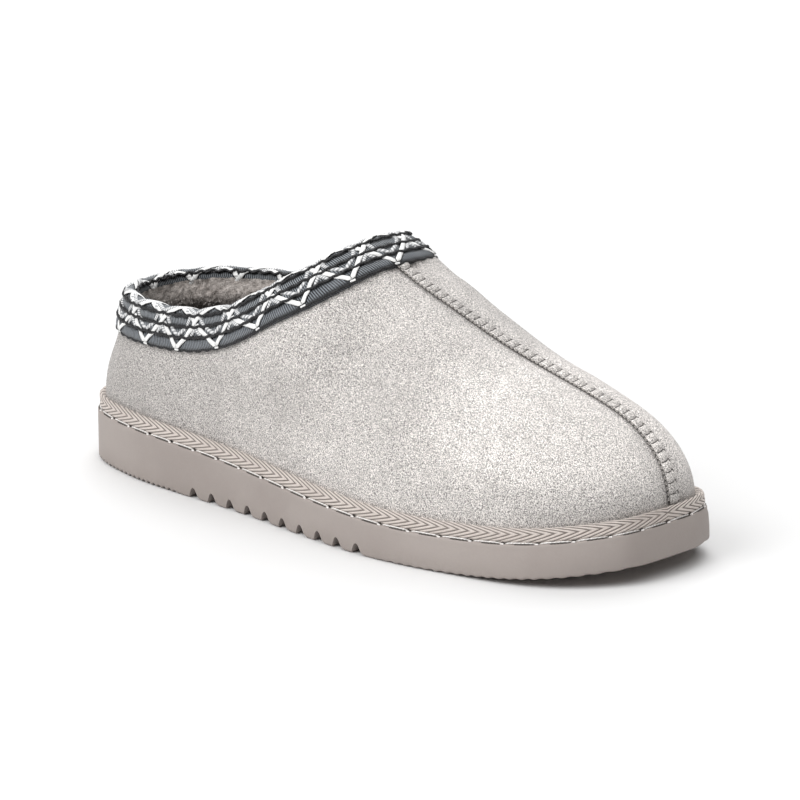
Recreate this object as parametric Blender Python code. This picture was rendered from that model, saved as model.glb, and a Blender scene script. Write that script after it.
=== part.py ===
"""Clog slipper, right shoe: a moulded outsole, a welt tape, a soft upper with a centre seam,
a braided collar and an insole. Metres, +Z up, +X to the toe, +Y to the inner side of the foot.
The origin is on the floor under the middle of the sole's box.
"""
import bmesh
import bpy
import numpy as np
from math import pi, radians
from mathutils import Vector

# Driving sizes
LENGTH = 0.285
BALL_WIDTH = 0.103
INSTEP_HEIGHT = 0.1065
SOLE_HEEL = 0.0200
SOLE_FORE = 0.0132
TOE_SPRING = 0.0073
WALL = 0.0025
CLEAR = 0.0003

# Outsole
TOE_SHIFT = 0.087
SPRING_START = 0.72
EDGE_RADIUS = 0.0016
TOE_FLARE = 0.0010
RIM = 0.0012
GROOVE_WIDTH = 0.0016
GROOVE_DEPTH = 0.0010
NOTCHES = 10
NOTCH_START = 0.0808
NOTCH_PITCH = 0.0109
NOTCH_WIDTH = 0.0058
NOTCH_DEPTH = 0.0040

# Upper
UPPER_INSET = 0.0046
HEEL_INSET = 0.0026
HEEL_REACH = 0.12
RIDGE_END = 0.0058
EASED_FROM = 0.60
EASED_TO = 1.50

# Welt tape
TAPE_HEIGHT = 0.0054
TAPE_INSET = 0.0010
TAPE_TOP = 0.0012

# Centre seam
SEAM_WIDTH = 0.0050
SEAM_RISE = 0.0016
SEAM_CLEAR = 0.0004
SEAM_START = 0.012

# Collar braid
BAND = 0.0136
ROLL = 0.0030
BRAID_ROWS = 3
BRAID_RISE = 0.0028
BRAID_DIP = 0.0008
BRAID_INSIDE = 0.0070

# Insole
INSOLE_THICK = 0.0040
INSOLE_GAP = 0.0006

# Counts
SOLE_STEPS = 88
COLLAR_STEPS = 28
RIDGE_STEPS = 18
SECTION_STEPS = 9
EASE_PASSES = 3

# Sole outline: along is a share of the length, the two sides are shares of the ball width
OUTLINE = (
    # along, lateral, medial
    (0.012, 0.134, 0.138),
    (0.040, 0.223, 0.240),
    (0.100, 0.303, 0.325),
    (0.200, 0.368, 0.374),
    (0.300, 0.394, 0.390),
    (0.420, 0.437, 0.395),
    (0.550, 0.498, 0.413),
    (0.680, 0.522, 0.450),
    (0.780, 0.490, 0.477),
    (0.870, 0.446, 0.467),
    (0.940, 0.345, 0.399),
    (0.980, 0.222, 0.306),
    (0.995, 0.116, 0.206),
)

# Top line of the collar's roll, once round from the heel by the outer side: along is a share of
# the length, aside of the ball width, height of the instep height; slope is the wall's, in degrees
COLLAR = (
    # turn, along, aside, height, slope
    (0, 0.066, 0.000, 0.663, 74),
    (15, 0.082, -0.128, 0.665, 73),
    (32, 0.126, -0.228, 0.668, 74),
    (55, 0.189, -0.284, 0.674, 76),
    (80, 0.266, -0.299, 0.689, 75),
    (102, 0.329, -0.304, 0.732, 70),
    (118, 0.365, -0.301, 0.774, 64),
    (131, 0.400, -0.287, 0.826, 57),
    (145, 0.435, -0.257, 0.880, 48),
    (158, 0.467, -0.194, 0.937, 39),
    (169, 0.487, -0.105, 0.980, 33),
    (180, 0.496, 0.000, 0.995, 32),
    (195, 0.497, 0.080, 0.992, 33),
    (209, 0.487, 0.144, 0.977, 38),
    (222, 0.462, 0.207, 0.936, 49),
    (237, 0.421, 0.261, 0.870, 59),
    (256, 0.354, 0.290, 0.781, 70),
    (280, 0.281, 0.303, 0.722, 76),
    (304, 0.211, 0.293, 0.702, 80),
    (325, 0.137, 0.237, 0.692, 78),
    (345, 0.083, 0.127, 0.675, 76),
)

# Ridge of the upper from the collar to the toe: shares of the run and of the fall between them
RIDGE = (
    # along, fall
    (0.180, 0.142),
    (0.360, 0.281),
    (0.570, 0.420),
    (0.760, 0.537),
    (0.862, 0.622),
    (0.930, 0.720),
    (0.968, 0.810),
    (0.990, 0.905),
)

# Lines of the upper's side from the sole up: top runs 0 to 1 along the collar and 1 to 2 down
# the ridge, base is the share of the way round the sole, the swings in degrees turn a line's start
# from straight down the slope to the side, and the rest are shares of the line's own length
SIDE = (
    # top, base, swing_lateral, swing_medial, rise, reach_lateral, reach_medial
    (0.00, 0.000, 0, 0, 0.56, 0.34, 0.34),
    (0.12, 0.065, 0, 0, 0.52, 0.34, 0.34),
    (0.28, 0.140, 0, 0, 0.42, 0.34, 0.34),
    (0.45, 0.240, 0, 0, 0.37, 0.34, 0.34),
    (0.62, 0.335, 0, 2, 0.37, 0.34, 0.34),
    (0.76, 0.410, 6, 16, 0.39, 0.36, 0.36),
    (0.88, 0.483, 24, 44, 0.42, 0.39, 0.43),
    (1.00, 0.550, 42, 66, 0.44, 0.44, 0.50),
    (1.12, 0.606, 57, 74, 0.45, 0.45, 0.52),
    (1.30, 0.682, 72, 80, 0.45, 0.44, 0.48),
    (1.50, 0.765, 82, 84, 0.44, 0.43, 0.44),
    (1.68, 0.835, 86, 86, 0.42, 0.42, 0.42),
    (1.82, 0.895, 72, 72, 0.42, 0.43, 0.43),
    (1.92, 0.948, 40, 40, 0.40, 0.42, 0.42),
    (2.00, 1.000, 0, 0, 0.36, 0.33, 0.33),
)

UP = np.array([0.0, 0.0, 1.0])


def columns(table):
    """The columns of a table as arrays."""
    return np.array(table, float).T


def spline(knots, values, at):
    """Smooth curve through the values at the knots, with free ends."""
    knots, values, at = (np.asarray(each, float) for each in (knots, values, at))
    gap = np.diff(knots)
    slope = np.diff(values) / gap
    inner = np.arange(1, len(knots) - 1)
    matrix = np.eye(len(knots))
    matrix[inner, inner - 1] = gap[:-1]
    matrix[inner, inner] = 2 * (gap[:-1] + gap[1:])
    matrix[inner, inner + 1] = gap[1:]
    turn = np.zeros(len(knots))
    turn[inner] = 6 * np.diff(slope)
    bend = np.linalg.solve(matrix, turn)
    i = np.clip(np.searchsorted(knots, at) - 1, 0, len(gap) - 1)
    past = at - knots[i]
    start = slope[i] - gap[i] * (2 * bend[i] + bend[i + 1]) / 6
    change = (bend[i + 1] - bend[i]) / (6 * gap[i])
    return values[i] + past * (start + past * (bend[i] / 2 + past * change))


def loop_spline(knots, values, at, period):
    """Smooth closed curve through the values at the knots."""
    knots = np.asarray(knots, float)
    wide = np.concatenate([knots - period, knots, knots + period])
    return spline(wide, np.tile(values, 3), np.mod(at, period))


def ease(x):
    """0 to 1 with flat ends."""
    x = np.clip(x, 0, 1)
    return x * x * (3 - 2 * x)


def unit(v):
    """Vectors scaled to length one."""
    return v / np.linalg.norm(v, axis=-1, keepdims=True)


def outline(turn, inset=0.0):
    """Plan points inside the sole's edge; turn is 0 at the heel, pi at the toe, 0..pi lateral."""
    along, lateral, medial = columns(OUTLINE)
    angle = np.arccos(1 - 2 * along)
    knots = np.concatenate([[0], angle, [pi], 2 * pi - angle[::-1]])
    aside = BALL_WIDTH * np.concatenate([[0], -lateral, [TOE_SHIFT], medial[::-1]])

    def edge(at):
        return np.stack([LENGTH * (1 - np.cos(at)) / 2, loop_spline(knots, aside, at, 2 * pi)], -1)

    turn = np.asarray(turn, float)
    run = unit(edge(turn + 1e-4) - edge(turn - 1e-4))
    out = np.stack([run[..., 1], -run[..., 0]], -1)
    return edge(turn) - np.asarray(inset)[..., None] * out


def floor_height(x):
    """Height of the sole's underside: flat, then rising to the toe."""
    u = np.clip((x / LENGTH - SPRING_START) / (1 - SPRING_START), 0, 1.1)
    return TOE_SPRING * u ** 2


def sole_height(x):
    """Height of the sole's top."""
    return floor_height(x) + SOLE_HEEL + (SOLE_FORE - SOLE_HEEL) * ease((x / LENGTH - 0.15) / 0.56)


def toe_flare(turn):
    """How far the sole's wall leans in at its top, growing from the waist to the toe."""
    return TOE_FLARE * ease((outline(turn)[:, 0] / LENGTH - 0.3) / 0.6)


def upper_inset(turn):
    """How far the upper's foot stands inside the sole's edge: less round the heel."""
    near = 1 - ease(outline(turn)[..., 0] / (HEEL_REACH * LENGTH))
    return UPPER_INSET + (HEEL_INSET - UPPER_INSET) * near


def base_line(side, share):
    """Foot of the upper on the sole's top; side is -1 lateral or 1 medial, share 0 heel to 1 toe."""
    turn = np.linspace(0, pi, 400) if side < 0 else np.linspace(2 * pi, pi, 400)
    edge = outline(turn, upper_inset(turn))
    way = np.concatenate([[0], np.cumsum(np.linalg.norm(np.diff(edge, axis=0), axis=1))])
    x, y = (np.interp(np.asarray(share) * way[-1], way, edge[:, i]) for i in (0, 1))
    return np.stack([x, y, sole_height(x) + CLEAR], -1)


def collar(turn, down=0.0, out=0.0):
    """Point of the collar: down from the upper's edge along its wall, and out from its skin."""
    turns, along, aside, height, slope = columns(COLLAR)

    def top(at):
        sizes = ((along, LENGTH), (aside, BALL_WIDTH), (height, INSTEP_HEIGHT))
        return np.stack([loop_spline(turns, col * size, at, 360) for col, size in sizes], -1)

    turn = np.asarray(turn, float)
    run = unit(top(turn + 0.5) - top(turn - 0.5))
    away = unit(np.stack([run[..., 1], -run[..., 0], 0 * run[..., 0]], -1))
    angle = np.radians(loop_spline(turns, slope, turn, 360))[..., None]
    fall = np.cos(angle) * away - np.sin(angle) * UP
    fall = unit(fall - (fall * run).sum(-1, keepdims=True) * run)
    normal = np.cross(fall, run)
    edge = top(turn) + ROLL * fall + WALL / 2 * normal
    point = edge + np.asarray(down)[..., None] * fall + np.asarray(out)[..., None] * normal
    return point, run, fall, normal


def ridge(share):
    """Point and forward direction of the ridge, 0 at the braid's lower edge to 1 at the toe."""
    along, fall = columns(RIDGE)
    start, _, slope, _ = collar(180.0, BAND)
    toe = base_line(-1, 1.0) + RIDGE_END * UP
    lead = start - 0.004 * slope
    x = start[0] + (toe[0] - start[0]) * np.concatenate([[0], along, [1]])
    z = start[2] + (toe[2] - start[2]) * np.concatenate([[0], fall, [1]])
    x = np.concatenate([[lead[0]], x, [toe[0]]])
    z = np.concatenate([[lead[2]], z, [toe[2] - RIDGE_END]])
    way = np.concatenate([[0], np.cumsum(np.hypot(np.diff(x), np.diff(z)))])
    first, last = way[1], way[-2]

    def at(s):
        run = first + s * (last - first)
        px = spline(way, x, run)
        py = start[1] + (toe[1] - start[1]) * ease((px - start[0]) / (toe[0] - start[0]))
        return np.stack([px, py, spline(way, z, run)], -1)

    share = np.asarray(share, float)
    return at(share), unit(at(share + 1e-3) - at(share - 1e-3))


def skin(side, top, share):
    """Outer skin below the braid: side -1 or 1, top 0..2 as in SIDE, share 0 sole to 1 top."""
    tops, base, *swings, rise, lateral, medial = columns(SIDE)
    foot = base_line(side, spline(tops, base, top))
    turn = np.radians(spline(tops, swings[0 if side < 0 else 1], top))
    if top <= 1:
        end, run, fall, _ = collar(180 * top if side < 0 else 360 - 180 * top, BAND)
        ahead = run if side < 0 else -run
        leave = np.cos(turn) * fall - np.sin(turn) * ahead
    else:
        end, forward = ridge(top - 1)
        leave = np.cos(turn) * forward + np.sin(turn) * np.array([0, side, 0])
    length = np.linalg.norm(end - foot)
    first = foot + spline(tops, rise, top) * length * UP
    second = end + spline(tops, lateral if side < 0 else medial, top) * length * leave
    s = np.asarray(share, float)[..., None]
    return ((1 - s) ** 3 * foot + 3 * s * (1 - s) ** 2 * first
            + 3 * s ** 2 * (1 - s) * second + s ** 3 * end)


def origin():
    """Floor point under the middle of the sole's box."""
    edge = outline(np.linspace(0, 2 * pi, SOLE_STEPS, endpoint=False))
    middle = (edge.min(0) + edge.max(0)) / 2
    return np.array([middle[0], middle[1], 0.0])


def add_rings(bm, rings, closed):
    """Faces between rings of points; a closed list joins its last ring to its first."""
    rows = [[bm.verts.new(point) for point in ring] for ring in rings]
    pairs = zip(rows, rows[1:] + rows[:1]) if closed else zip(rows, rows[1:])
    for low, high in pairs:
        for i in range(len(low)):
            j = (i + 1) % len(low)
            bm.faces.new((low[i], low[j], high[j], high[i]))
    return rows


def finish(name, bm, material, crease=40):
    """Object from the mesh, shaded smooth, with its origin at the shoe's."""
    bmesh.ops.recalc_face_normals(bm, faces=bm.faces)
    bmesh.ops.translate(bm, vec=Vector(-origin()), verts=bm.verts)
    mesh = bpy.data.meshes.new(name)
    bm.to_mesh(mesh)
    bm.free()
    mesh.shade_smooth()
    mesh.set_sharp_from_angle(angle=radians(crease))
    mesh.materials.append(material)
    thing = bpy.data.objects.new(name, mesh)
    bpy.context.scene.collection.objects.link(thing)
    return thing


def paint(name, color, roughness):
    """Plain surface with a colour and a roughness."""
    material = bpy.data.materials.new(name)
    material.use_nodes = True
    shader = material.node_tree.nodes["Principled BSDF"]
    shader.inputs["Base Color"].default_value = (*color, 1)
    shader.inputs["Roughness"].default_value = roughness
    return material


def cap_across(bm, ring):
    """Strips from side to side over a ring that starts at the heel."""
    count = len(ring)
    for i in range(count // 2):
        corners = [ring[i], ring[i + 1], ring[-i - 1], ring[-i % count]]
        bm.faces.new(list(dict.fromkeys(corners)))


def make_outsole(material):
    """Moulded sole: rounded lower edge, slightly flared wall, rim with a stitch groove."""
    turn = np.linspace(0, 2 * pi, SOLE_STEPS, endpoint=False)
    flare = toe_flare(turn)
    round_in = EDGE_RADIUS * (1 - np.sin(radians(45)))
    low = ((EDGE_RADIUS, 0), (round_in, round_in), (0, EDGE_RADIUS))
    lip = RIM + GROOVE_WIDTH
    high = ((0.0, RIM / 2), (RIM / 2, 0.0), (RIM, 0.0), (RIM + GROOVE_WIDTH / 3, GROOVE_DEPTH),
            (lip - GROOVE_WIDTH / 3, GROOVE_DEPTH), (lip, 0.0))
    rings = []
    for inset, rise in low:
        edge = outline(turn, inset + 0 * turn)
        rings.append(np.c_[edge, floor_height(edge[:, 0]) + rise])
    for inset, drop in high:
        edge = outline(turn, inset + flare)
        rings.append(np.c_[edge, sole_height(edge[:, 0]) - drop])
    bm = bmesh.new()
    rows = add_rings(bm, rings, closed=False)
    cap_across(bm, rows[0])
    cap_across(bm, rows[-1])
    sole = finish("outsole", bm, material, 30)
    cut = sole.modifiers.new("notches", "BOOLEAN")
    cut.object = make_notches()
    graph = bpy.context.evaluated_depsgraph_get()
    shaped = bpy.data.meshes.new_from_object(sole.evaluated_get(graph))
    sole.modifiers.remove(cut)
    sole.data = shaped
    shaped.name = "outsole"
    shaped.set_sharp_from_angle(angle=radians(30))
    return sole


def make_notches():
    """Cutters of the arched grooves across the waist of the sole."""
    half = NOTCH_WIDTH / 2
    arch = ((-1.14, -0.24), (-1.0, 0.0), (-0.72, 0.46), (-0.50, 0.82), (-0.26, 1.0), (0.0, 0.95),
            (0.18, 0.74), (0.34, 0.48), (0.62, 0.22), (1.0, 0.0), (1.36, -0.24))
    bm = bmesh.new()
    for step in range(NOTCHES):
        middle = NOTCH_START + step * NOTCH_PITCH
        corners = [(middle + x * half, -BALL_WIDTH, z * NOTCH_DEPTH) for x, z in arch]
        face = bm.faces.new([bm.verts.new(corner) for corner in corners])
        grown = bmesh.ops.extrude_face_region(bm, geom=[face])["geom"]
        moved = [item for item in grown if isinstance(item, bmesh.types.BMVert)]
        bmesh.ops.translate(bm, vec=(0, 2 * BALL_WIDTH, 0), verts=moved)
    cutter = finish("notch_cutter", bm, None)
    cutter.hide_render = True
    cutter.display_type = "WIRE"
    return cutter


def make_upper(material):
    """Hollow upper: two sides meeting at the heel, the ridge and the toe, with a real wall."""
    tops = np.concatenate([np.linspace(0, 1, COLLAR_STEPS + 1),
                           np.linspace(1, 2, RIDGE_STEPS + 1)[1:]])
    share = np.linspace(0, 1, SECTION_STEPS + 1)
    bm = bmesh.new()
    eased = []
    for side in (-1, 1):
        lines = [[bm.verts.new(p) for p in skin(side, top, share)] for top in tops]
        eased += [v for line, top in zip(lines, tops) if EASED_FROM < top < EASED_TO
                  for v in line[2:-1]]
        for step, top in enumerate(tops[:COLLAR_STEPS + 1]):
            turn = 180 * top if side < 0 else 360 - 180 * top
            for down in (BAND / 2, 0.0):
                lines[step].append(bm.verts.new(collar(turn, down)[0]))
        for left, right in zip(lines, lines[1:]):
            for i in range(min(len(left), len(right)) - 1):
                bm.faces.new((left[i], right[i], right[i + 1], left[i + 1]))
    for _ in range(EASE_PASSES):
        bmesh.ops.smooth_vert(bm, verts=eased, factor=0.5, use_axis_x=True, use_axis_y=True,
                              use_axis_z=True)
    bmesh.ops.remove_doubles(bm, verts=bm.verts, dist=1e-5)
    upper = finish("upper", bm, material, 60)
    wall = upper.modifiers.new("wall", "SOLIDIFY")
    wall.thickness = WALL
    wall.offset = -1
    wall.use_even_offset = True
    return upper


def make_tape(material):
    """Welt tape: a sloped band round the foot of the upper, on the sole's rim."""
    turn = np.linspace(0, 2 * pi, SOLE_STEPS, endpoint=False)
    flare = toe_flare(turn)
    outer = TAPE_INSET + flare
    inner = upper_inset(turn) - 2 * CLEAR
    crown = inner - TAPE_TOP
    profile = ((outer + 0.10 * TAPE_HEIGHT, 0.0), (outer, 0.18), (outer + 0.05 * TAPE_HEIGHT, 0.42),
               ((outer + crown) / 2, 0.74), (crown, 0.95), (inner - TAPE_TOP / 2, 1.0),
               (inner, 0.90), (inner, 0.0))
    rings = []
    for inset, rise in profile:
        edge = outline(turn, inset)
        rings.append(np.c_[edge, sole_height(edge[:, 0]) + CLEAR + rise * TAPE_HEIGHT])
    bm = bmesh.new()
    add_rings(bm, rings, closed=True)
    return finish("welt_tape", bm, material)


def make_seam(material):
    """Raised seam down the ridge, from the braid to the welt tape."""
    half = SEAM_WIDTH / 2
    profile = ((-1.0, 0.0), (-1.0, 0.45), (-0.6, 0.6), (-0.15, 0.6), (0.15, 1.0), (0.7, 1.0),
               (1.0, 0.4), (1.0, 0.0))
    share = np.linspace(SEAM_START, 1, 4 * RIDGE_STEPS)
    path = ridge(share)[0]
    clear = path[:, 2] > sole_height(path[:, 0]) + TAPE_HEIGHT + 3 * CLEAR
    path, forward = ridge(np.linspace(SEAM_START, share[clear][-1], 2 * RIDGE_STEPS))
    across = np.array([0.0, 1.0, 0.0])
    normal = unit(np.cross(forward, across))
    rings = []
    for point, out in zip(path, normal):
        foot = point + SEAM_CLEAR * out
        rings.append([foot + a * half * across + r * SEAM_RISE * out for a, r in profile])
    bm = bmesh.new()
    rows = add_rings(bm, rings, closed=False)
    bm.faces.new(rows[0])
    bm.faces.new(rows[-1])
    return finish("centre_seam", bm, material)


def make_braid(material):
    """Collar braid: one wall folded over the upper's edge, with its rows raised."""
    width = BAND / BRAID_ROWS
    dip = BRAID_RISE - BRAID_DIP
    outer = [(BAND, CLEAR)]
    for row in range(BRAID_ROWS):
        low = BAND - row * width
        outer += [(low, dip), (low - 0.3 * width, BRAID_RISE), (low - 0.7 * width, BRAID_RISE)]
    roll = ((-0.45, 0.85), (-0.90, 0.25), (-1.0, -0.45), (-0.90, -1.24), (-0.40, -1.74))
    roll = [(down * ROLL, out * BRAID_RISE) for down, out in roll]
    inner = ((0.30, 0.90), (0.50, 0.65), (0.75, 0.80), (1.0, 0.60))
    inner = [(down * BRAID_INSIDE, -WALL - out * BRAID_RISE) for down, out in inner]
    inner += [(BRAID_INSIDE, -WALL - CLEAR), (-CLEAR, -WALL - CLEAR), (-CLEAR, CLEAR)]
    turn = np.linspace(0, 360, 2 * COLLAR_STEPS, endpoint=False)
    profile = outer + roll + inner
    rings = [collar(turn, down + 0 * turn, out + 0 * turn)[0] for down, out in profile]
    bm = bmesh.new()
    add_rings(bm, rings, closed=True)
    return finish("collar_braid", bm, material, 60)


def make_insole(material):
    """Insole: a plate that fills the sole's top inside the upper."""
    turn = np.linspace(0, 2 * pi, SOLE_STEPS // 2, endpoint=False)
    inset = upper_inset(turn) + WALL + INSOLE_GAP
    bm = bmesh.new()
    rings = []
    for extra, rise in ((0.0, 0.0), (0.0, INSOLE_THICK * 0.7), (INSOLE_THICK * 0.3, INSOLE_THICK)):
        edge = outline(turn, inset + extra)
        rings.append(np.c_[edge, sole_height(edge[:, 0]) + CLEAR + rise])
    rows = add_rings(bm, rings, closed=False)
    cap_across(bm, rows[0])
    cap_across(bm, rows[-1])
    return finish("insole", bm, material)


def main():
    for old in list(bpy.data.objects):
        bpy.data.objects.remove(old)
    suede = paint("suede", (0.56, 0.54, 0.52), 0.9)
    rubber = paint("rubber", (0.45, 0.41, 0.38), 0.65)
    tape = paint("tape", (0.50, 0.46, 0.43), 0.8)
    cord = paint("cord", (0.20, 0.21, 0.23), 0.5)
    fleece = paint("fleece", (0.42, 0.39, 0.37), 1.0)
    make_outsole(rubber)
    make_upper(suede)
    make_insole(fleece)
    make_tape(tape)
    make_seam(suede)
    make_braid(cord)


main()
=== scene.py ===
"""Looks of the clog slipper: suede napped by brushing, whip-stitched seam, laced collar braid, woven
welt tape, moulded rubber sole, fleece lining. Metres, +X to the toe, +Y to the inner side of the foot."""
from math import cos, pi, radians, sin

import bmesh
import bpy
import numpy as np
from mathutils import Matrix, Vector


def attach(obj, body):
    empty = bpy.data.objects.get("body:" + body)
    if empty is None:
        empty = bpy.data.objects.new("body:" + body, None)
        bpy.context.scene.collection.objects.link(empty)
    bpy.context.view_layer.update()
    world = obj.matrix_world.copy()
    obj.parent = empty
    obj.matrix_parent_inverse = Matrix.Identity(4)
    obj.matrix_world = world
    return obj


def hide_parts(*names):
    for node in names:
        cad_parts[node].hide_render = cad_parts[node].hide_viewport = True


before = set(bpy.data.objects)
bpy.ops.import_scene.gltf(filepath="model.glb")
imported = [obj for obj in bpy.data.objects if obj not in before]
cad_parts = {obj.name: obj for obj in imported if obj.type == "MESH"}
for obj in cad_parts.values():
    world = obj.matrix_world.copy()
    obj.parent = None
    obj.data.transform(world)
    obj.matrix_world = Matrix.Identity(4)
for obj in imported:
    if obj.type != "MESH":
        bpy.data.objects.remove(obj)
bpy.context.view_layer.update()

# The shoe's own sizes, as in its solids
LENGTH = 0.285
BALL_WIDTH = 0.103
INSTEP_HEIGHT = 0.1065
SOLE_HEEL = 0.0200
SOLE_FORE = 0.0132
TOE_SPRING = 0.0073
WALL = 0.0025
CLEAR = 0.0003
TOE_SHIFT = 0.087
SPRING_START = 0.72
TOE_FLARE = 0.0010
RIM = 0.0012
GROOVE_WIDTH = 0.0016
GROOVE_DEPTH = 0.0010
NOTCHES = 10
NOTCH_START = 0.0808
NOTCH_PITCH = 0.0109
NOTCH_WIDTH = 0.0058
NOTCH_DEPTH = 0.0040
UPPER_INSET = 0.0046
HEEL_INSET = 0.0026
HEEL_REACH = 0.12
RIDGE_END = 0.0058
EASED_FROM = 0.60
EASED_TO = 1.50
TAPE_HEIGHT = 0.0054
TAPE_INSET = 0.0010
TAPE_TOP = 0.0012
SEAM_WIDTH = 0.0050
BAND = 0.0136
ROLL = 0.0030
INSOLE_GAP = 0.0006
COLLAR_STEPS = 28
RIDGE_STEPS = 18
SECTION_STEPS = 9
EASE_PASSES = 3

OUTLINE = (
    # along, lateral, medial
    (0.012, 0.134, 0.138),
    (0.040, 0.223, 0.240),
    (0.100, 0.303, 0.325),
    (0.200, 0.368, 0.374),
    (0.300, 0.394, 0.390),
    (0.420, 0.437, 0.395),
    (0.550, 0.498, 0.413),
    (0.680, 0.522, 0.450),
    (0.780, 0.490, 0.477),
    (0.870, 0.446, 0.467),
    (0.940, 0.345, 0.399),
    (0.980, 0.222, 0.306),
    (0.995, 0.116, 0.206),
)
COLLAR = (
    # turn, along, aside, height, slope
    (0, 0.066, 0.000, 0.663, 74),
    (15, 0.082, -0.128, 0.665, 73),
    (32, 0.126, -0.228, 0.668, 74),
    (55, 0.189, -0.284, 0.674, 76),
    (80, 0.266, -0.299, 0.689, 75),
    (102, 0.329, -0.304, 0.732, 70),
    (118, 0.365, -0.301, 0.774, 64),
    (131, 0.400, -0.287, 0.826, 57),
    (145, 0.435, -0.257, 0.880, 48),
    (158, 0.467, -0.194, 0.937, 39),
    (169, 0.487, -0.105, 0.980, 33),
    (180, 0.496, 0.000, 0.995, 32),
    (195, 0.497, 0.080, 0.992, 33),
    (209, 0.487, 0.144, 0.977, 38),
    (222, 0.462, 0.207, 0.936, 49),
    (237, 0.421, 0.261, 0.870, 59),
    (256, 0.354, 0.290, 0.781, 70),
    (280, 0.281, 0.303, 0.722, 76),
    (304, 0.211, 0.293, 0.702, 80),
    (325, 0.137, 0.237, 0.692, 78),
    (345, 0.083, 0.127, 0.675, 76),
)
RIDGE = (
    # along, fall
    (0.180, 0.142),
    (0.360, 0.281),
    (0.570, 0.420),
    (0.760, 0.537),
    (0.862, 0.622),
    (0.930, 0.720),
    (0.968, 0.810),
    (0.990, 0.905),
)
SIDE = (
    # top, base, swing_lateral, swing_medial, rise, reach_lateral, reach_medial
    (0.00, 0.000, 0, 0, 0.56, 0.34, 0.34),
    (0.12, 0.065, 0, 0, 0.52, 0.34, 0.34),
    (0.28, 0.140, 0, 0, 0.42, 0.34, 0.34),
    (0.45, 0.240, 0, 0, 0.37, 0.34, 0.34),
    (0.62, 0.335, 0, 2, 0.37, 0.34, 0.34),
    (0.76, 0.410, 6, 16, 0.39, 0.36, 0.36),
    (0.88, 0.483, 24, 44, 0.42, 0.39, 0.43),
    (1.00, 0.550, 42, 66, 0.44, 0.44, 0.50),
    (1.12, 0.606, 57, 74, 0.45, 0.45, 0.52),
    (1.30, 0.682, 72, 80, 0.45, 0.44, 0.48),
    (1.50, 0.765, 82, 84, 0.44, 0.43, 0.44),
    (1.68, 0.835, 86, 86, 0.42, 0.42, 0.42),
    (1.82, 0.895, 72, 72, 0.42, 0.43, 0.43),
    (1.92, 0.948, 40, 40, 0.40, 0.42, 0.42),
    (2.00, 1.000, 0, 0, 0.36, 0.33, 0.33),
)
UP = np.array([0.0, 0.0, 1.0])

# Looks
LACES = 17
LACE_LOW = (0.0537, 0.0718, 0.0948, 0.1191, 0.1407, 0.1594, 0.1776)
LACE_HIGH = (0.0624, 0.0815, 0.1034, 0.1268, 0.1490, 0.1688)
LACE_FOOT = 0.0010
LACE_CROSS = 0.0108
WHITE_SIZE = (0.00100, 0.00036)
LACE_PAINTED_SHADOW_SIZE = (0.00130, 0.00026)
GREY_SIZE = (0.00082, 0.00046)
SPARE_SIZE = (0.00074, 0.00044)
KNOT_SIZE = (0.00050, 0.00040)
KNOT_REACH = 0.0011
CORD_SIZE = (0.00058, 0.00042)
CORD_LIFT = 0.00150
LOW_CORD_LIFT = 0.0003
ROPES = (0.0, 0.0050, 0.0092, 0.0135, 0.0176, 0.0220, 0.0240)
ROPE_RISE = 0.0011
ROPE_TUCK = 0.0012
ROPE_RIB = 0.00092
BASE_OUT = 0.0009
ROLL_RADIUS = 0.0018
BAND_INSIDE = 0.0070
BAND_DROP = 0.0018
DROP_BACK = 0.036
DROP_REACH = 0.020
TAPE_PITCH = 0.0044
STRAND_OUT = 0.00034
STRAND_UP = 0.00016
TIP = 0.45
CHEVRON = 4.6
HEEL_TREAD = 0.0032
HEEL_BITE = 0.0009
HEEL_TREAD_END = 0.066
FORE_TREAD = 0.0045
FORE_BITE = 0.00040
FORE_TREAD_START = 0.186
SEAM_PITCH = 0.0040
SEAM_BOW = 0.0008
SEAM_SLANT = 0.22
SEAM_TUCK = -0.012
SEAM_LINE = (0.00036, 0.00030)
SCALLOP_LINE = (0.00034, 0.00026)
LOBE_LINE = (0.00018, 0.00018)
SEAM_STITCH = (0.00024, 0.00022)
SUEDE_THICK = 0.0012
PLUMP = 0.0024
TUFTS = 6500
TUFT_FROM = 0.0045
TUFT_REACH = 0.022
TUFT_LONG = 0.0017
TUFT_SIZE = (0.00030, 0.00026)
STITCH = 0.0138
CAMERA_AROUND = 42.38
CAMERA_ABOVE = 15.5
CAMERA_ROLL = -0.375
CAMERA_FAR = 2.0
CAMERA_AIM = 0.03
CAMERA_LENS = 233.92
CAMERA_SHIFT = (0.02416, 0.03893)


def columns(table):
    """The columns of a table as arrays."""
    return np.array(table, float).T


def spline(knots, values, at):
    """Smooth curve through the values at the knots, with free ends."""
    knots, values, at = (np.asarray(each, float) for each in (knots, values, at))
    gap = np.diff(knots)
    slope = np.diff(values) / gap
    inner = np.arange(1, len(knots) - 1)
    matrix = np.eye(len(knots))
    matrix[inner, inner - 1] = gap[:-1]
    matrix[inner, inner] = 2 * (gap[:-1] + gap[1:])
    matrix[inner, inner + 1] = gap[1:]
    turn = np.zeros(len(knots))
    turn[inner] = 6 * np.diff(slope)
    bend = np.linalg.solve(matrix, turn)
    i = np.clip(np.searchsorted(knots, at) - 1, 0, len(gap) - 1)
    past = at - knots[i]
    start = slope[i] - gap[i] * (2 * bend[i] + bend[i + 1]) / 6
    change = (bend[i + 1] - bend[i]) / (6 * gap[i])
    return values[i] + past * (start + past * (bend[i] / 2 + past * change))


def loop_spline(knots, values, at, period):
    """Smooth closed curve through the values at the knots."""
    knots = np.asarray(knots, float)
    wide = np.concatenate([knots - period, knots, knots + period])
    return spline(wide, np.tile(values, 3), np.mod(at, period))


def ease(x):
    """0 to 1 with flat ends."""
    x = np.clip(x, 0, 1)
    return x * x * (3 - 2 * x)


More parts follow.
